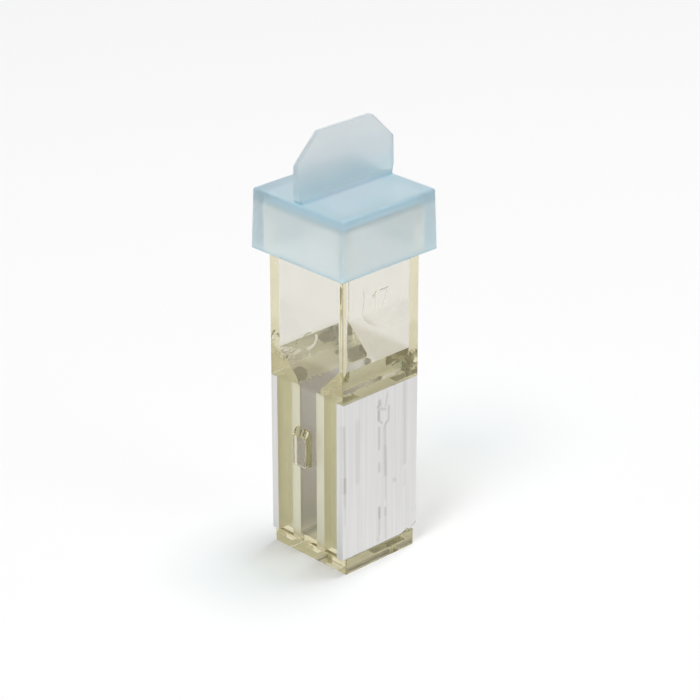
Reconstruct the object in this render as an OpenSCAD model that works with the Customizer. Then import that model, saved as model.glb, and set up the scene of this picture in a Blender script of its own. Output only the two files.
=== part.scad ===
// Electroporation cuvette: a clear square tube moulded around two aluminium electrodes,
// with a translucent push-on cap. The electrodes stand at -X and +X, the clear windows
// face -Y and +Y, and the foot rests on z = 0. All sizes are in millimetres.

/* [Clear body] */
// Outer width, from the face of one electrode to the face of the other
body_w = 12.5; // [11:0.1:16]
// Outer depth, from window to window
body_d = 12.5; // [11:0.1:16]
// Height of the clear body, from the foot to the rim
body_h = 45.2; // [36:0.1:60]
// Wall of the open tube and of the two windows
wall = 1.05; // [0.8:0.05:1.4]
// Radius of the outer upright edges
corner_r = 0.15; // [0.1:0.05:0.6]
// Radius of the upright edges inside the tube
bore_r = 0.15; // [0.1:0.05:0.9]
// Rounding along the rim's outer edge
rim_chamfer = 0.2; // [0.1:0.05:0.4]

/* [Foot] */
// Height of the foot under the electrodes
foot_h = 2.05; // [1.2:0.05:3]
// How far the foot stands in under each window
foot_inset = 0.5; // [0.2:0.05:0.8]
// Height of the slot's floor above the foot's underside
slot_floor = 2.75; // [2:0.05:4]

/* [Electrodes] */
// Gap between the two electrodes
cell_gap = 4; // [2:0.1:5]
// Height of each electrode
electrode_h = 20.75; // [16:0.25:26]
// Thickness of the bare outer plate
outer_plate_t = 1.1; // [0.9:0.05:1.5]
// Thickness of the plate that faces the slot
inner_plate_t = 0.75; // [0.5:0.05:1]
// Width of the web that joins the two plates
web_w = 6; // [4:0.1:8]
// How deep each edge of the inner plate is buried in a window
plate_bury = 0.5; // [0.2:0.05:0.7]
// Thickness of the lip that anchors each buried edge in its window
anchor_t = 0.35; // [0.1:0.05:0.5]
// How far each lip stands out over the slot's window
anchor_w = 0.55; // [0.2:0.05:0.8]

/* [Shoulders] */
// Height of the slot's lip above the electrodes
lip_h = 0.6; // [0.4:0.05:1.5]
// Slope of the shoulders that lead down into the slot, in degrees
shoulder_angle = 45; // [30:1:55]

/* [Window key] */
// Width of the key on the -Y window
key_w = 2.4; // [1.6:0.1:3.4]
// Height of the key
key_h = 4.65; // [3:0.05:8]
// How far the key stands proud of the window
key_proud = 0.95; // [0.5:0.05:1.2]
// Height of the key's underside above the foot's underside
key_z = 12.8; // [6:0.1:15]
// Distance of the key's middle from the window's middle
key_shift = -0.4; // [-1:0.1:1]
// Radius of the key's upright edges
key_r = 0.25; // [0.1:0.05:0.4]
// Width and drop of the slope along the key's top
key_slope = 0.7; // [0.1:0.05:0.8]

/* [Wall marks] */
// Radius of the shallow round panel on the +X wall
panel_r = 3.4; // [2.5:0.1:4]
// Depth of the round panel
panel_depth = 0.1; // [0.06:0.01:0.2]
// Width of the sloping edge around the panel
panel_slope = 0.8; // [0.1:0.05:1]
// Height of the round panel's centre above the slot's lip
panel_rise = 11.35; // [10:0.05:13]
// Height of the plain numerals in the panel
number_h = 1.9; // [1.4:0.1:2.4]
// Width of the numerals' strokes
number_line = 0.24; // [0.16:0.01:0.3]
// Radius of the gate's well on the -X wall
gate_r = 1.8; // [1.6:0.05:2.6]
// Depth of the gate's well
gate_depth = 0.15; // [0.1:0.01:0.35]
// Radius of the boss that fills the well's middle, at its foot
gate_boss_r = 1.5; // [1:0.05:1.55]
// How much narrower the boss is at its top
gate_bevel = 0.35; // [0.1:0.05:0.5]
// Height of the gate's centre above the slot's lip
gate_rise = 1.85; // [1.6:0.05:4]

/* [Cap] */
// Clearance between the cap and each side of the tube
cap_clearance = 0.12; // [0.05:0.01:0.3]
// Gap between the rim and the cap's underside
seat_gap = 0.1; // [0.05:0.01:0.2]
// Length of tube that the cap's skirt covers
skirt_grip = 5.9; // [4:0.1:10]
// Thickness of the skirt at its lower edge
skirt_t = 1.42; // [1.2:0.02:2]
// How much each side leans in from the lower edge to the top
cap_draft = 0.2; // [0:0.01:0.5]
// Thickness of the cap's top
cap_top_t = 1.5; // [1:0.1:2.5]
// Radius of the cap's outer edges
cap_r = 0.35; // [0.3:0.05:0.9]

/* [Fin] */
// Thickness of the grip fin at its foot
fin_t = 0.9; // [0.6:0.05:1.4]
// Thickness of the grip fin at its top edge
fin_top_t = 0.55; // [0.4:0.05:1.4]
// Height of the fin above the cap's top
fin_h = 8.1; // [5:0.1:12]
// How far each end of the fin stands past the cap's top
fin_overhang = 0.1; // [0:0.05:0.5]
// Width that each sloping shoulder of the fin takes off its top edge
fin_slope_w = 3.05; // [1.5:0.05:5]
// Height of each sloping shoulder of the fin
fin_slope_h = 3.05; // [1:0.05:4]
// Radius of the fin's outline corners
fin_r = 0.6; // [0.3:0.05:1]
// Radius of the fillet along the fin's foot
fin_fillet = 0.6; // [0.2:0.05:1]

/* [Hidden] */
$fn = 64;
hull_fn = 32;
eps = 0.01;

// Clear body
bore_w = body_w - 2 * wall;
bore_d = body_d - 2 * wall;
electrode_top = foot_h + electrode_h;
lip_z = electrode_top + lip_h;
shoulder_run = (bore_w - cell_gap) / 2;
shoulder_top = lip_z + shoulder_run * tan(shoulder_angle);
plate_inner_x = body_w / 2 - outer_plate_t;

// Electrodes
inner_plate_x = cell_gap / 2 + inner_plate_t;
inner_plate_w = bore_d + 2 * plate_bury;
anchor_cover = 0.1;

// Wall marks
panel_z = lip_z + panel_rise;
gate_z = lip_z + gate_rise;
gate_sink = 0.03;
number_raise = panel_depth;
numeral_gap = 0.4 * number_h;

// Cap
cavity_w = body_w + 2 * cap_clearance;
cavity_d = body_d + 2 * cap_clearance;
skirt_z = body_h - skirt_grip;
cavity_top = body_h + seat_gap;
cap_top = cavity_top + cap_top_t;
cap_w = cavity_w + 2 * skirt_t;
cap_d = cavity_d + 2 * skirt_t;
cap_top_d = cap_d - 2 * cap_draft;
fin_w = cap_top_d + 2 * fin_overhang;
fin_top = cap_top + fin_h;

// Upright block, centred on the Z axis, with round upright edges
module round_block(w, d, r, z0, z1) {
    translate([0, 0, z0])
        linear_extrude(height = z1 - z0)
            union() {
                square([w - 2 * r, d], center = true);
                square([w, d - 2 * r], center = true);
                for (x = [-1, 1], y = [-1, 1])
                    translate([x * (w / 2 - r), y * (d / 2 - r)])
                        circle(r = r);
            }
}

// Upright block with sharp edges, from x0 to x1, centred on y = 0
module slab(x0, x1, d, z0, z1) {
    translate([x0, -d / 2, z0])
        cube([x1 - x0, d, z1 - z0]);
}

// Web, inner plate and anchor lips of the electrode on the +X side
module electrode_core() {
    slab(cell_gap / 2, inner_plate_x, inner_plate_w, foot_h, electrode_top);
    slab(inner_plate_x, plate_inner_x, web_w, foot_h, electrode_top);
    difference() {
        slab(cell_gap / 2 - anchor_w, inner_plate_x, inner_plate_w, foot_h, electrode_top);
        slab(0, cell_gap / 2, inner_plate_w - 2 * min(anchor_t, plate_bury - anchor_cover), 0, lip_z);
    }
}

// Whole electrode on the +X side: the bare plate shares the body's round outer edges
module electrode() {
    electrode_core();
    intersection() {
        round_block(body_w, body_d, corner_r, foot_h, electrode_top);
        slab(plate_inner_x, body_w, body_d, foot_h, electrode_top);
    }
}

// Space that a sample fills: the slot, the sloping shoulders and the open tube above
module sample_space() {
    slab(-cell_gap / 2, cell_gap / 2, bore_d, slot_floor, lip_z + eps);
    translate([0, bore_d / 2, 0])
        rotate([90, 0, 0])
            linear_extrude(height = bore_d)
                polygon([
                    [-cell_gap / 2, lip_z],
                    [cell_gap / 2, lip_z],
                    [bore_w / 2, shoulder_top],
                    [-bore_w / 2, shoulder_top]
                ]);
    round_block(bore_w, bore_d, bore_r, shoulder_top - eps, body_h + eps);
}

// Key that marks the -Y side, with a sloping top
module window_key() {
    cut = key_slope * sqrt(2);
    translate([key_shift, -body_d / 2, 0])
        difference() {
            round_block(key_w, 2 * key_proud, key_r, key_z, key_z + key_h);
            translate([0, -key_proud, key_z + key_h])
                rotate([45, 0, 0])
                    cube([2 * key_w, cut, cut], center = true);
        }
}

// Thin strips that take the sharp edge off the rim
module rim_chamfers() {
    cut = rim_chamfer * sqrt(2);
    for (side = [-1, 1]) {
        translate([side * body_w / 2, 0, body_h])
            rotate([0, 45, 0])
                cube([cut, 2 * body_d, cut], center = true);
        translate([0, side * body_d / 2, body_h])
            rotate([45, 0, 0])
                cube([2 * body_w, cut, cut], center = true);
    }
}

// Shallow round panel on the +X wall, with a sloping edge
module panel_recess() {
    translate([body_w / 2 - panel_depth, 0, panel_z])
        rotate([0, 90, 0])
            cylinder(r1 = panel_r - panel_slope, r2 = panel_r + panel_slope, h = 2 * panel_depth);
}

// Gate mark on the -X wall: a round well around a bevelled boss, whose top lies just
// below the wall's face
module gate_well() {
    translate([-body_w / 2, 0, gate_z])
        rotate([0, 90, 0])
            difference() {
                translate([0, 0, -1])
                    cylinder(r = gate_r, h = 1 + gate_depth);
                translate([0, 0, gate_sink])
                    cylinder(r1 = gate_boss_r - gate_bevel, r2 = gate_boss_r, h = gate_depth);
            }
}

// One straight stroke of a numeral in the panel, from one [y, z] to another
module number_stroke(from, to) {
    way = to - from;
    translate([body_w / 2 - 2 * panel_depth, from[0], panel_z + from[1]])
        rotate([atan2(way[1], way[0]), 0, 0])
            translate([0, -number_line / 2, -number_line / 2])
                cube([panel_depth + number_raise, norm(way) + number_line, number_line]);
}

// The plain numerals 1 and 7, raised from the panel's floor
module panel_number() {
    top = number_h / 2;
    number_stroke([-numeral_gap, -top], [-numeral_gap, top]);
    number_stroke([-1.6 * numeral_gap, 0.6 * top], [-numeral_gap, top]);
    number_stroke([0, top], [1.5 * numeral_gap, top]);
    number_stroke([0.5 * numeral_gap, -top], [1.5 * numeral_gap, top]);
}

module clear_body() {
    color([0.93, 0.90, 0.72, 0.5]) {
        difference() {
            union() {
                round_block(body_w, body_d - 2 * foot_inset, corner_r, 0, foot_h);
                slab(-plate_inner_x, plate_inner_x, body_d, foot_h, electrode_top);
                round_block(body_w, body_d, corner_r, electrode_top, body_h);
                window_key();
            }
            electrode_core();
            mirror([1, 0, 0])
                electrode_core();
            sample_space();
            rim_chamfers();
            panel_recess();
            gate_well();
        }
        panel_number();
    }
}

module left_electrode() {
    color([0.80, 0.81, 0.82])
        mirror([1, 0, 0])
            electrode();
}

module right_electrode() {
    color([0.80, 0.81, 0.82])
        electrode();
}

// Drafted shell of the cap, with round edges at the sides and round the top
module cap_shell() {
    top_inset = cap_draft + cap_r;
    hull()
        for (x = [-1, 1], y = [-1, 1]) {
            translate([x * (cap_w / 2 - cap_r), y * (cap_d / 2 - cap_r), skirt_z])
                cylinder(r = cap_r, h = eps, $fn = hull_fn);
            translate([x * (cap_w / 2 - top_inset), y * (cap_d / 2 - top_inset), cap_top - cap_r])
                sphere(r = cap_r, $fn = hull_fn);
        }
}

// Round bar through the fin's thickness, at one point of its outline; the fin tapers upwards
module fin_bar(y, z) {
    thickness = fin_t + (fin_top_t - fin_t) * (z - cap_top) / fin_h;
    translate([0, y, z])
        rotate([0, 90, 0])
            cylinder(r = fin_r, h = thickness, center = true, $fn = hull_fn);
}

module fin() {
    edge_y = fin_w / 2 - fin_r;
    root_y = cap_top_d / 2 - cap_r;
    hull()
        for (side = [-1, 1]) {
            fin_bar(side * edge_y, cap_top + 2 * fin_r);
            fin_bar(side * edge_y, fin_top - fin_r - fin_slope_h);
            fin_bar(side * (edge_y - fin_slope_w), fin_top - fin_r);
            fin_bar(side * (root_y - fin_r), cap_top - fin_r);
        }
}

// Concave fillets that join both faces of the fin to the cap's top
module fin_fillets() {
    length = cap_top_d - 2 * cap_r;
    foot_w = fin_t + 2 * fin_fillet;
    translate([0, length / 2, cap_top])
        rotate([90, 0, 0])
            linear_extrude(height = length)
                difference() {
                    translate([-foot_w / 2, -cap_r])
                        square([foot_w, cap_r + fin_fillet]);
                    for (side = [-1, 1])
                        translate([side * foot_w / 2, fin_fillet])
                            circle(r = fin_fillet);
                }
}

module cap() {
    color([0.66, 0.80, 0.87, 0.85])
        difference() {
            union() {
                cap_shell();
                fin();
                fin_fillets();
            }
            round_block(cavity_w, cavity_d, corner_r, skirt_z - 1, cavity_top);
        }
}

clear_body();
left_electrode();
right_electrode();
cap();
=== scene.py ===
import math
import random

import bpy
import bmesh
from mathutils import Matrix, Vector


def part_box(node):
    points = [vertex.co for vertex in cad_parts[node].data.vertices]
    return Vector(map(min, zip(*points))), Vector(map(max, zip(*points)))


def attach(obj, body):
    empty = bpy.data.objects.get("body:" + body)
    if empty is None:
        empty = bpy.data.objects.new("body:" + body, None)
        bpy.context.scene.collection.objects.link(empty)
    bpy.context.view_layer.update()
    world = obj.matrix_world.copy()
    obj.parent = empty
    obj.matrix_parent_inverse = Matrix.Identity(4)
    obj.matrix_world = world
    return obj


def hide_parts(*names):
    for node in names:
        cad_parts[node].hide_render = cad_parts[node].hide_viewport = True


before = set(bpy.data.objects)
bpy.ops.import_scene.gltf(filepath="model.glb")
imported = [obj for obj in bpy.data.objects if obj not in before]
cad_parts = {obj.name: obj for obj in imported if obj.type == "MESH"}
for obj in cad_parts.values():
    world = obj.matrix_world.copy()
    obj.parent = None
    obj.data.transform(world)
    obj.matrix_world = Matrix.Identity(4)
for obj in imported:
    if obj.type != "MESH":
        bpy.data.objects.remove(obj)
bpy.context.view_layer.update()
MM = 0.001
BODY = "cuvette"
CAP = "cap"

# ---------------------------------------------------------------- sizes from the frame, in mm
METAL_LOW, METAL_HIGH = (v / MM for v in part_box("right_electrode"))
SKIRT_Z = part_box("cap")[0].z / MM
FACE_X = METAL_HIGH.x
LIP_X = METAL_LOW.x
HALF_D = METAL_HIGH.y
FOOT_Z, TOP_Z = METAL_LOW.z, METAL_HIGH.z

# Section of an electrode: backs and faces of its plates, and half widths of web, plate and slot
PLATE_BACK_X = FACE_X - 1.1
SLOT_X = LIP_X + 0.55
INNER_PLATE_X = SLOT_X + 0.75
WEB_Y = 3.0
INNER_PLATE_Y = 5.7
LIP_Y = 5.35
BORE_Y = 5.2
# Radius of its bare upright edges, and bevel at its sawn ends
UPRIGHT_R = 0.15
END_BEVEL = 0.12
# How far its buried faces reach into the plastic, so that no two faces coincide
BOND = 0.012

# Depth of a scratch, and reach, half width, height and lean of a burr
SCRATCH_DEPTH = 0.02
BURR_REACH, BURR_HALF_W, BURR_H, BURR_LEAN = 0.1, 0.16, 0.7, 0.3
# Rows of points up an electrode, and spacing of points across its bare face
ROWS = 170
FACE_STEP = 0.06
ARC_STEPS = 8

# Air between the floor and the foot
FLOOR_GAP = 0.04


def link(tree, source, target):
    tree.links.new(source, target)


def node(tree, kind, **values):
    made = tree.nodes.new("ShaderNode" + kind)
    for key, value in values.items():
        setattr(made, key, value)
    return made


def new_material(name):
    material = bpy.data.materials.new(name)
    material.use_nodes = True
    return material, material.node_tree, material.node_tree.nodes["Principled BSDF"]


# ---------------------------------------------------------------- camera, floor, light
def add_camera():
    """A long lens above the front right edge of the cuvette."""
    azimuth, elevation = math.radians(45.98), math.radians(24.67)
    distance, aside, target_z = 324.4 * MM, 0.68 * MM, 26.0 * MM
    back = Vector((
        math.sin(azimuth) * math.cos(elevation),
        -math.cos(azimuth) * math.cos(elevation),
        math.sin(elevation),
    ))
    right = Vector((math.cos(azimuth), math.sin(azimuth), 0))
    target = Vector((0, 0, target_z))
    data = bpy.data.cameras.new("camera")
    data.lens = 139.5
    data.sensor_width = 36
    data.clip_start, data.clip_end = 0.01, 20
    camera = bpy.data.objects.new("camera", data)
    camera.location = target + back * distance + right * aside
    camera.rotation_mode = "QUATERNION"
    camera.rotation_quaternion = (-back).to_track_quat("-Z", "Y")
    bpy.context.scene.collection.objects.link(camera)
    bpy.context.scene.camera = camera


def seen_ray(tree):
    """1 on a ray from the camera, or from gloss or glass, and 0 on the rest."""
    path = node(tree, "LightPath")
    total = path.outputs["Is Camera Ray"]
    for name in ("Is Glossy Ray", "Is Transmission Ray"):
        add = node(tree, "Math", operation="ADD", use_clamp=True)
        link(tree, total, add.inputs[0])
        link(tree, path.outputs[name], add.inputs[1])
        total = add.outputs[0]
    return total


def seen_strength(tree, base, extra):
    """base for every ray, with extra added where the camera, gloss or glass sees it."""
    total = node(tree, "Math", operation="MULTIPLY_ADD")
    link(tree, seen_ray(tree), total.inputs[0])
    total.inputs[1].default_value = extra
    total.inputs[2].default_value = base
    return total.outputs[0]


def add_floor():
    """A pale floor with a film of air between it and the foot."""
    mesh = bpy.data.meshes.new("floor")
    r, z = 3, -FLOOR_GAP * MM
    mesh.from_pydata([(-r, -r, z), (r, -r, z), (r, r, z), (-r, r, z)], [], [(0, 1, 2, 3)])
    floor = bpy.data.objects.new("floor", mesh)
    bpy.context.scene.collection.objects.link(floor)
    material = bpy.data.materials.new("floor")
    material.use_nodes = True
    tree = material.node_tree
    tree.nodes.clear()
    diffuse = node(tree, "BsdfDiffuse")
    diffuse.inputs["Color"].default_value = (0.9, 0.9, 0.9, 1)
    glow = node(tree, "Emission")
    link(tree, seen_strength(tree, 0, 0.05), glow.inputs["Strength"])
    both = node(tree, "AddShader")
    link(tree, diffuse.outputs[0], both.inputs[0])
    link(tree, glow.outputs[0], both.inputs[1])
    link(tree, both.outputs[0], node(tree, "OutputMaterial").inputs["Surface"])
    mesh.materials.append(material)


def area_light(name, bearing, elevation, size, power, mirrored):
    """A round soft lamp that faces the cuvette. Its bearing runs from +X towards +Y, and
    gloss shows it where mirrored is true."""
    distance, target_z = 1.2, 0.025
    b, h = math.radians(bearing), math.radians(elevation)
    way = Vector((math.cos(b) * math.cos(h), math.sin(b) * math.cos(h), math.sin(h)))
    data = bpy.data.lights.new(name, "AREA")
    data.shape = "DISK"
    data.size = size
    data.energy = power
    lamp = bpy.data.objects.new(name, data)
    lamp.location = way * distance + Vector((0, 0, target_z))
    lamp.rotation_mode = "QUATERNION"
    lamp.rotation_quaternion = (-way).to_track_quat("-Z", "Y")
    lamp.visible_transmission = False
    lamp.visible_glossy = mirrored
    bpy.context.scene.collection.objects.link(lamp)


def add_lights():
    world = bpy.data.worlds.new("world")
    bpy.context.scene.world = world
    world.use_nodes = True
    back = world.node_tree.nodes["Background"]
    back.inputs["Color"].default_value = (1, 1, 1, 1)
    link(world.node_tree, seen_strength(world.node_tree, 0.33, 0.67), back.inputs["Strength"])
    area_light("key", -74, 55, 0.4, 4.8, True)
    area_light("fill", 15, 35, 0.6, 0.8, True)
    area_light("back", 80, 77, 0.36, 6.6, False)


# ---------------------------------------------------------------- materials
def object_coords(tree, stretch=(1, 1, 1)):
    coords = node(tree, "TexCoord")
    scaled = node(tree, "Mapping")
    scaled.inputs["Scale"].default_value = stretch
    link(tree, coords.outputs["Object"], scaled.inputs["Vector"])
    return scaled.outputs[0]


def noise(tree, scale, detail=2.0, rough=0.5, stretch=(1, 1, 1)):
    tex = node(tree, "TexNoise")
    tex.inputs["Scale"].default_value = scale
    tex.inputs["Detail"].default_value = detail
    tex.inputs["Roughness"].default_value = rough
    link(tree, object_coords(tree, stretch), tex.inputs["Vector"])
    return tex.outputs["Fac"]


def ramp(tree, value, stops):
    """Colours or greys at places from 0 to 1."""
    made = node(tree, "ValToRGB")
    elements = made.color_ramp.elements
    while len(elements) < len(stops):
        elements.new(0.5)
    for element, (place, colour) in zip(elements, stops):
        element.position = place
        element.color = (*colour, 1) if isinstance(colour, tuple) else (colour, colour, colour, 1)
    link(tree, value, made.inputs[0])
    return made.outputs[0]


def ramp_mm(tree, value, low, high, stops):
    """Colours or greys at places in mm, for a value that is 0 at low and 1 at high."""
    return ramp(tree, value, [((at - low) / (high - low), colour) for at, colour in stops])


def mix_colours(tree, factor, first, second):
    mix = node(tree, "Mix", data_type="RGBA")
    link(tree, factor, mix.inputs[0])
    link(tree, first, mix.inputs[6])
    link(tree, second, mix.inputs[7])
    return mix.outputs[2]


def off_axis(tree, reach):
    """Larger of |x| and |y|, 0 on the axis and 1 at reach mm from it."""
    split = node(tree, "SeparateXYZ")
    link(tree, object_coords(tree), split.inputs[0])
    sizes = []
    for axis in "XY":
        size = node(tree, "Math", operation="ABSOLUTE")
        link(tree, split.outputs[axis], size.inputs[0])
        sizes.append(size.outputs[0])
    larger = node(tree, "Math", operation="MAXIMUM")
    link(tree, sizes[0], larger.inputs[0])
    link(tree, sizes[1], larger.inputs[1])
    share = node(tree, "Math", operation="MULTIPLY")
    link(tree, larger.outputs[0], share.inputs[0])
    share.inputs[1].default_value = 1 / (reach * MM)
    return share.outputs[0]


def times(tree, first, second):
    """Product of two colours."""
    mix = node(tree, "Mix", data_type="RGBA", blend_type="MULTIPLY")
    mix.inputs[0].default_value = 1
    link(tree, first, mix.inputs[6])
    link(tree, second, mix.inputs[7])
    return mix.outputs[2]


def height(tree, low, high):
    """Height in mm of the frame, as 0 at low and 1 at high."""
    split = node(tree, "SeparateXYZ")
    link(tree, object_coords(tree), split.inputs[0])
    scaled = node(tree, "MapRange")
    scaled.inputs["From Min"].default_value = low * MM
    scaled.inputs["From Max"].default_value = high * MM
    link(tree, split.outputs["Z"], scaled.inputs["Value"])
    return scaled.outputs[0]


def bump(tree, shader, value, strength, depth):
    """Shades value as relief, depth mm deep."""
    made = node(tree, "Bump")
    made.inputs["Strength"].default_value = strength
    made.inputs["Distance"].default_value = depth * MM
    link(tree, value, made.inputs["Height"])
    link(tree, made.outputs[0], shader.inputs["Normal"])


def absorb(tree, colour):
    """Tints a clear piece by its thickness: colour is what 10 mm of it lets through."""
    made = node(tree, "VolumeAbsorption")
    made.inputs["Color"].default_value = (*colour, 1)
    made.inputs["Density"].default_value = 100
    link(tree, made.outputs[0], tree.nodes["Material Output"].inputs["Volume"])


def lamps_pass(tree, shader, tint):
    """Lets lamps reach what is inside a clear piece, dimmed by tint at each surface."""
    path = node(tree, "LightPath")
    see = node(tree, "BsdfTransparent")
    see.inputs["Color"].default_value = (*tint, 1)
    mix = node(tree, "MixShader")
    link(tree, path.outputs["Is Shadow Ray"], mix.inputs[0])
    link(tree, shader.outputs[0], mix.inputs[1])
    link(tree, see.outputs[0], mix.inputs[2])
    link(tree, mix.outputs[0], tree.nodes["Material Output"].inputs["Surface"])


def clear_plastic():
    """Polished moulded plastic, faintly yellow in its depth, with slight ripples, and flow lines
    where it closed round the shoulders. Its colour carries painted shade in a dark band just above
    the foot and over the shoulders, and painted light in a lighter foot."""
    material, tree, shader = new_material("clear_plastic")
    cloud = noise(tree, 160, 2, 0.5, (1, 1, 0.5))
    haze = ramp(tree, cloud, [(0.3, (0.975, 0.975, 0.97)), (0.7, (0.995, 0.995, 0.99))])
    # Colour by height: the plastic's own grey tint in the window and tube, painted shade as a dark
    # band just above the foot and over the shoulders, and painted light in the lighter foot.
    foot, painted_ledge_shade, window = (1, 1, 0.985), (0.70, 0.64, 0.48), (0.908, 0.897, 0.85)
    painted_shoulder_shade, tube = (0.73, 0.70, 0.62), (0.912, 0.907, 0.89)
    tint_and_painted_shade = ramp_mm(tree, height(tree, 0, 50), 0, 50, [
        (1.9, foot), (2.075, painted_ledge_shade), (2.8, painted_ledge_shade), (3.1, window), (22.5, window),
        (23, painted_shoulder_shade), (26, painted_shoulder_shade), (27, tube),
    ])
    link(tree, times(tree, haze, tint_and_painted_shade), shader.inputs["Base Color"])
    shader.inputs["Roughness"].default_value = 0.02
    shader.inputs["IOR"].default_value = 1.58
    shader.inputs["Transmission Weight"].default_value = 1
    ripple = noise(tree, 420, 2, 0.5, (1, 1, 0.6))
    weld = ramp_mm(
        tree, height(tree, 21, 28), 21, 28, [(22.4, 0), (23.1, 0.5), (25.2, 0.5), (26.6, 0)]
    )
    weld_weight = 45
    flow = times(tree, noise(tree, 900, 2, 0.6, (1, 1, 1.5)), weld)
    lines = node(tree, "Math", operation="MULTIPLY_ADD")
    link(tree, flow, lines.inputs[0])
    lines.inputs[1].default_value = weld_weight
    link(tree, ripple, lines.inputs[2])
    bump(tree, shader, lines.outputs[0], 0.3, 0.01)
    absorb(tree, (0.87, 0.83, 0.62))
    lamps_pass(tree, shader, (0.82, 0.82, 0.79))
    return material


def electrode_metal():
    """Extruded aluminium: dull and scored where it is bare. Where plastic covers it, and on the
    face towards the slot, it gets a lighter copy of its colour, yellowed under the plastic, as
    painted light.
    """
    material, tree, shader = new_material("electrode_metal")
    streaks = noise(tree, 2600, 4, 0.6, (1, 1, 0.02))
    cloud = noise(tree, 260, 3, 0.5, (1, 1, 0.3))
    dull = ramp(tree, streaks, [(0.3, (0.665, 0.66, 0.65)), (0.7, (0.745, 0.74, 0.73))])
    scored = ramp(tree, cloud, [(0.3, (0.38, 0.37, 0.36)), (0.7, (0.45, 0.44, 0.42))])
    # Painted light: lighter, yellowed metal on the buried faces and lighter, neutral metal on the
    # face towards the slot.
    painted_lit_buried = ramp(tree, streaks, [(0.3, (0.955, 0.94, 0.79)), (0.7, (0.985, 0.975, 0.85))])
    painted_lit_slot = ramp(tree, cloud, [(0.3, (0.965, 0.95, 0.95)), (0.7, (0.985, 0.965, 0.96))])
    mark = node(tree, "Attribute", attribute_name="mark")
    bare = node(tree, "Attribute", attribute_name="bare")
    slot_painted_light = node(tree, "Attribute", attribute_name="slot_painted_light")
    face = mix_colours(tree, mark.outputs["Fac"], dull, scored)
    painted_lit_hidden = mix_colours(tree, slot_painted_light.outputs["Fac"], painted_lit_buried, painted_lit_slot)
    link(tree, mix_colours(tree, bare.outputs["Fac"], painted_lit_hidden, face), shader.inputs["Base Color"])
    shader.inputs["Metallic"].default_value = 1
    link(tree, ramp(tree, cloud, [(0.3, 0.32), (0.7, 0.44)]), shader.inputs["Roughness"])
    bump(tree, shader, streaks, 0.25, 0.02)
    return material


def cap_plastic():
    """Translucent satin plastic, bluer where it is thick. Painted shade darkens its top slab, top
    face and fin, with a dark line at the skirt's lower edge and along its softened edges.
    """
    material, tree, shader = new_material("cap_plastic")
    low, high, reach = 39, 56, 8
    # Painted shade by height: a dark line at the skirt's lower edge, a darker, bluer band round the
    # top slab, and a fin that is darker low down.
    tint = ramp_mm(tree, height(tree, low, high), low, high, [
        (39.425, (0.74, 0.81, 0.83)),
        (39.595, (1, 1, 1)),
        (44.865, (1, 1, 1)),
        (45.545, (0.74, 0.81, 0.84)),
        (46.735, (0.64, 0.74, 0.79)),
        (46.854, (1, 1, 1)),
        (48.078, (0.80, 0.90, 0.93)),
        (49.999, (0.86, 0.90, 0.92)),
        (54.198, (0.90, 0.92, 0.93)),
    ])
    # Painted shade on the top face: darker than the sides, and bluer towards its edges.
    painted_top_shade = ramp_mm(tree, off_axis(tree, reach), 0, reach, [
        (2.8, (0.58, 0.585, 0.65)), (5.76, (0.49, 0.60, 0.68)), (7.52, (0.48, 0.62, 0.70)),
    ])
    on_top = ramp_mm(
        tree, height(tree, low, high), low, high, [(46.735, 0), (46.854, 1), (46.99, 1), (47.33, 0)]
    )
    tint = mix_colours(tree, on_top, tint, painted_top_shade)
    cloud = noise(tree, 240, 3, 0.5)
    veil = ramp(tree, cloud, [(0.35, (0.965, 0.985, 0.99)), (0.65, (1, 1, 1))])
    # Painted shade: the softened edges are darkened to a thin teal line.
    edge_shade_mask = node(tree, "Attribute", attribute_name="edge")
    outline = ramp(tree, edge_shade_mask.outputs["Fac"], [(0, (1, 1, 1)), (1, (0.58, 0.68, 0.70))])
    link(tree, times(tree, times(tree, tint, veil), outline), shader.inputs["Base Color"])
    shader.inputs["Roughness"].default_value = 0.28
    shader.inputs["IOR"].default_value = 1.49
    shader.inputs["Transmission Weight"].default_value = 0.6
    absorb(tree, (0.30, 0.80, 0.92))
    lamps_pass(tree, shader, (0.85, 0.90, 0.93))
    return material


# ---------------------------------------------------------------- electrodes
def between(points, x):
    """Height at x of a line through points, which are sorted by x."""
    for (x0, h0), (x1, h1) in zip(points, points[1:]):
        if x <= x1:
            return h0 + (h1 - h0) * max(0, x - x0) / (x1 - x0)
    return points[-1][1]


def arc(cx, cy, r, a0, a1, steps):
    """Points of an arc round (cx, cy), from angle a0 to a1 in degrees."""
    for i in range(steps + 1):
        a = math.radians(a0 + (a1 - a0) * i / steps)
        yield cx + r * math.cos(a), cy + r * math.sin(a)


def electrode_outline():
    """Section of the electrode at +X, anticlockwise from above, with how many points are bare
    and which side faces the slot."""
    flat = HALF_D - UPRIGHT_R
    count = round(2 * flat / FACE_STEP)
    points = list(arc(FACE_X - UPRIGHT_R, -flat, UPRIGHT_R, -90, 0, ARC_STEPS))
    points += [(FACE_X, -flat + 2 * flat * i / count) for i in range(1, count)]
    points += arc(FACE_X - UPRIGHT_R, flat, UPRIGHT_R, 0, 90, ARC_STEPS)
    bare = len(points)
    back, inner = PLATE_BACK_X - BOND, INNER_PLATE_X + BOND
    web, plate, bore = WEB_Y + BOND, INNER_PLATE_Y + BOND, BORE_Y + BOND / 2
    lip, slot = LIP_X - BOND, SLOT_X - BOND
    half = [
        (back, HALF_D), (back, web), (inner, web), (inner, plate), (lip, plate),
        (lip, LIP_Y - BOND), (slot, LIP_Y - BOND), (slot, bore), (SLOT_X, bore),
    ]
    points += half
    slot_side = len(points) - 1
    points += [(x, -y) for x, y in reversed(half)]
    return points, bare, slot_side


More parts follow.
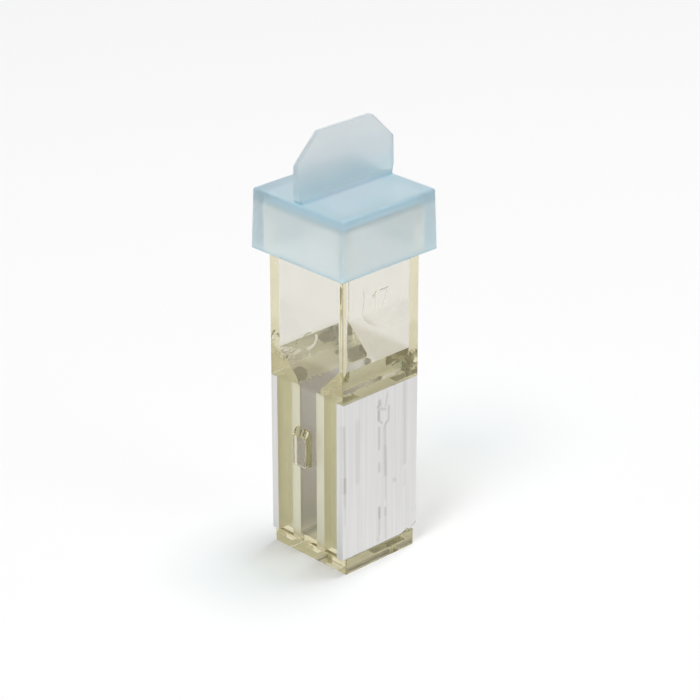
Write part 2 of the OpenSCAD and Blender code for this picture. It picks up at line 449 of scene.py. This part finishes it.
def path_mark(y, z, path, width):
    """1 on a scratch that runs along path, falling to 0 at width from it."""
    best = width
    for (y0, z0), (y1, z1) in zip(path, path[1:]):
        dy, dz = y1 - y0, z1 - z0
        t = max(0, min(1, ((y - y0) * dy + (z - z0) * dz) / (dy * dy + dz * dz)))
        best = min(best, math.hypot(y - y0 - t * dy, z - z0 - t * dz))
    return 1 - best / width


# Scratches on the bare face at +X: width in mm, weight, and the (y, z) points of the path in mm
SCRATCHES = (
    (0.34, 1.0, [(-5.94, 13.1), (-5.94, 11.2)]),
    (0.32, 0.5, [(-6.04, 19.9), (-5.94, 13.1)]),
    (0.30, 0.5, [(-5.94, 11.2), (-5.94, 9.3)]),
    (0.30, 0.2, [(-5.94, 9.3), (-5.93, 7.0)]),
    (0.60, 0.25, [(-3.86, 19.8), (-3.85, 12.0)]),
    (0.42, 0.7, [(-0.2, 21.4), (-0.15, 20.9)]),
    (0.28, 0.8, [(-0.2, 21.0), (-0.5, 20.7)]),
    (0.26, 0.5, [(-0.3, 20.5), (0.8, 20.05)]),
    (0.32, 0.9, [(-0.32, 20.2), (-0.31, 19.0)]),
    (0.18, 0.7, [(-0.3, 19.0), (0.25, 18.35)]),
    (0.30, 0.35, [(1.1, 22.0), (0.8, 20.5)]),
    (0.24, 0.6, [(1.38, 20.3), (1.34, 18.5)]),
    (0.24, 0.7, [(1.34, 18.5), (0.82, 18.15), (0.66, 17.7)]),
    (0.40, 0.45, [(0.66, 17.7), (0.74, 15.2)]),
    (0.42, 0.65, [(0.74, 15.2), (0.86, 11.2)]),
    (0.34, 0.3, [(0.86, 11.2), (0.9, 8.0)]),
    (0.30, 0.55, [(-0.25, 17.9), (-0.23, 15.1)]),
    (0.30, 0.5, [(-0.19, 13.1), (-0.18, 12.1)]),
    (0.40, 0.4, [(4.0, 22.4), (4.1, 11.7)]),
    (0.30, 0.2, [(4.12, 10.7), (4.15, 8.7)]),
    (0.30, 1.0, [(-0.15, 7.1), (-0.14, 5.7)]),
    (0.30, 0.5, [(-0.14, 5.7), (-0.2, 3.4)]),
    (0.32, 0.6, [(-0.33, 2.95), (-0.33, 2.7)]),
    (0.30, 0.7, [(0.87, 6.7), (0.88, 5.7)]),
    (0.30, 0.35, [(0.88, 5.7), (0.91, 2.6)]),
    (0.38, 0.4, [(2.28, 10.1), (2.5, 9.9)]),
    (0.26, 0.9, [(6.1, 2.8), (5.4, 2.2)]),
)
# Those that the second electrode has too, in another place
LEFT_SCRATCHES = SCRATCHES[13:26]
# How far the sawn lower edge is chipped away: y and height in mm
CHIPS = ((-6.3, 0), (3.6, 0), (4.6, 0.4), (5.3, 0.05), (6.2, 0.65), (6.3, 0.65))
NO_CHIPS = ((-6.3, 0), (6.3, 0))
# Burrs on that edge: y in mm
BURRS = (-4.7, -2.45)
NO_BURRS = ()
# Deep grooves of the drawing die, beside its many fine ones: y, half width and depth in mm
DEEP_LINES = [(4.35, 0.14, 0.014), (5.85, 0.25, 0.012), (-5.1, 0.35, 0.006), (-3.7, 0.3, 0.008)]
FINE_LINES = 70


def turned(scratches):
    """The same scratches after half a turn on the face."""
    return [
        (width, weight, [(-y, FOOT_Z + TOP_Z - z) for y, z in path])
        for width, weight, path in scratches
    ]


def die_lines(seed):
    """Fine upright lines of a drawn face: y, half width and depth in mm."""
    rng = random.Random(seed)
    lines = [
        (rng.uniform(-6, 6), rng.uniform(0.04, 0.16), rng.uniform(0.002, 0.008))
        for _ in range(FINE_LINES)
    ]
    return lines + DEEP_LINES


def row_shares(length):
    """Places of the rows of points up an electrode, from 0 at its foot to 1 at its top."""
    bevel = END_BEVEL / length
    return [0, bevel, *((k + 1) / (ROWS + 1) for k in range(1, ROWS)), 1 - bevel, 1]


def burr_reach(y, up, burrs):
    """How far the burrs push the face out at y, at a height of up above its lower edge."""
    fade = max(0, 1 - up / BURR_H)
    return BURR_REACH * sum(
        max(0, 1 - abs(y - at - BURR_LEAN * up) / BURR_HALF_W) * fade for at in burrs
    )


def electrode_points(outline, bare_count, side, lines, scratches, chips, burrs):
    """Points of an electrode, row by row in mm, and how deep a scratch is at each, 0 to 1."""
    grooves = [sum(d * max(0, 1 - abs(y - y0) / w) for y0, w, d in lines) for _, y in outline]
    low, high = FOOT_Z - BOND, TOP_Z + BOND
    points, marks = [], []
    for share in row_shares(high - low):
        for i, (x, y) in enumerate(outline):
            foot = low + between(chips, y) if x > PLATE_BACK_X else low
            z = foot + (high - foot) * share
            mark = 0.0
            if i < bare_count:
                for width, weight, path in scratches:
                    mark = max(mark, weight * path_mark(y, z, path, width))
                x -= max(0, END_BEVEL - min(z - foot, high - z))
            if x > FACE_X - 2 * END_BEVEL:
                x += burr_reach(y, z - foot, burrs) - grooves[i] - SCRATCH_DEPTH * mark
            points.append((side * x, y, z))
            marks.append(mark)
    return points, marks


def electrode_faces(n, rows, bare_count, slot_side):
    """Faces round an electrode with n points a row, and which are bare or face the slot."""
    faces, bare, slot_painted_light = [], [], []
    for k in range(rows - 1):
        for i in range(n):
            a, b = k * n + i, k * n + (i + 1) % n
            faces.append((a, b, b + n, a + n))
            bare.append(1.0 if i < bare_count or i == n - 1 else 0.0)
            # The face towards the slot is marked for painted light.
            slot_painted_light.append(1.0 if i == slot_side else 0.0)
    faces.append(tuple(reversed(range(n))))
    faces.append(tuple(range((rows - 1) * n, rows * n)))
    return faces, bare + [0.0, 0.0], slot_painted_light + [0.0, 0.0]


def add_piece(name, mesh, material):
    mesh.materials.append(material)
    piece = bpy.data.objects.new(name, mesh)
    bpy.context.scene.collection.objects.link(piece)
    return piece


def build_electrode(name, side, lines, scratches, chips, burrs, material):
    """An extruded aluminium electrode with die lines down its bare face, sawn at both ends."""
    outline, bare_count, slot_side = electrode_outline()
    n = len(outline)
    points, marks = electrode_points(outline, bare_count, side, lines, scratches, chips, burrs)
    faces, bare, slot_painted_light = electrode_faces(n, len(points) // n, bare_count, slot_side)
    if side < 0:
        faces = [tuple(reversed(f)) for f in faces]
    mesh = bpy.data.meshes.new(name)
    mesh.from_pydata([(x * MM, y * MM, z * MM) for x, y, z in points], [], faces)
    for layer, domain, values in (
        ("mark", "POINT", marks), ("bare", "FACE", bare), ("slot_painted_light", "FACE", slot_painted_light)
    ):
        mesh.attributes.new(layer, "FLOAT", domain).data.foreach_set("value", values)
    return add_piece(name, mesh, material)


# ---------------------------------------------------------------- moulded pieces
# Points this near are one, and angles in degrees below which faces are one and above which
# their edge is sharp
SAME_POINT = 0.0005
FLAT_ANGLE, SHARP_ANGLE = 0.05, 30
# Radius of the softened edges, and facets across each
BODY_EDGE_R, CAP_EDGE_R = 0.06, 0.1
EDGE_STEPS = 2


def soften(name, source, chosen, radius, material):
    """A copy of a CAD piece with a small radius on the sharp edges whose middle is chosen.
    Its faces there get an edge mark of 1."""
    bm = bmesh.new()
    bm.from_mesh(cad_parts[source].data)
    edge_mark = bm.faces.layers.float.new("edge")
    bmesh.ops.remove_doubles(bm, verts=bm.verts, dist=SAME_POINT * MM)
    bmesh.ops.dissolve_limit(
        bm, angle_limit=math.radians(FLAT_ANGLE), verts=bm.verts, edges=bm.edges,
        use_dissolve_boundaries=False
    )
    edges = []
    for edge in bm.edges:
        sharp = edge.is_manifold and edge.calc_face_angle() > math.radians(SHARP_ANGLE)
        if sharp and chosen((edge.verts[0].co + edge.verts[1].co) / 2 / MM):
            edges.append(edge)
    rounded = bmesh.ops.bevel(
        bm, geom=edges, offset=radius * MM, offset_type="OFFSET", segments=EDGE_STEPS,
        profile=0.5, affect="EDGES", clamp_overlap=True
    )
    # On the cap, this mark carries a painted shade along the softened edges.
    for face in rounded["faces"]:
        face[edge_mark] = 1.0
    mesh = bpy.data.meshes.new(name)
    bm.to_mesh(mesh)
    bm.free()
    return add_piece(name, mesh, material)


def body_edge(p):
    """Free moulded edges of the clear body: foot, key, slot lip, shoulders and rim."""
    on_key = p.y < -HALF_D - 0.01
    in_foot = p.z < FOOT_Z - 0.1
    inside = max(abs(p.x), abs(p.y)) < HALF_D - 0.5
    return on_key or in_foot or (inside and p.z > TOP_Z + 0.1)


def cap_edge(p):
    """Free edges of the cap: the skirt's lower edges and the fin's outline."""
    fin_from = 8
    return p.z < SKIRT_Z + 0.1 or p.z > SKIRT_Z + fin_from


def add_pieces():
    plastic, alu, blue = clear_plastic(), electrode_metal(), cap_plastic()
    body = soften("clear_body_detail", "clear_body", body_edge, BODY_EDGE_R, plastic)
    cap = soften("cap_detail", "cap", cap_edge, CAP_EDGE_R, blue)
    right = build_electrode(
        "right_electrode_detail", 1, die_lines(seed=5), SCRATCHES, CHIPS, BURRS, alu
    )
    left = build_electrode(
        "left_electrode_detail", -1, die_lines(seed=8), turned(LEFT_SCRATCHES), NO_CHIPS,
        NO_BURRS, alu
    )
    for piece, source, home, slot in (
        (body, "clear_body", BODY, "clear_plastic"),
        (cap, "cap", CAP, "cap_plastic"),
        (right, "right_electrode", BODY, "electrode_metal"),
        (left, "left_electrode", BODY, "electrode_metal"),
    ):
        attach(piece, home)
        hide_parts(source)


def set_light_paths():
    """Enough bounces for light to find its way through nested clear walls."""
    cycles = bpy.context.scene.cycles
    cycles.max_bounces = cycles.glossy_bounces = cycles.transmission_bounces = 48
    cycles.transparent_max_bounces = 32


add_camera()
add_floor()
add_lights()
add_pieces()
set_light_paths()
bpy.context.scene.view_settings.view_transform = "Standard"
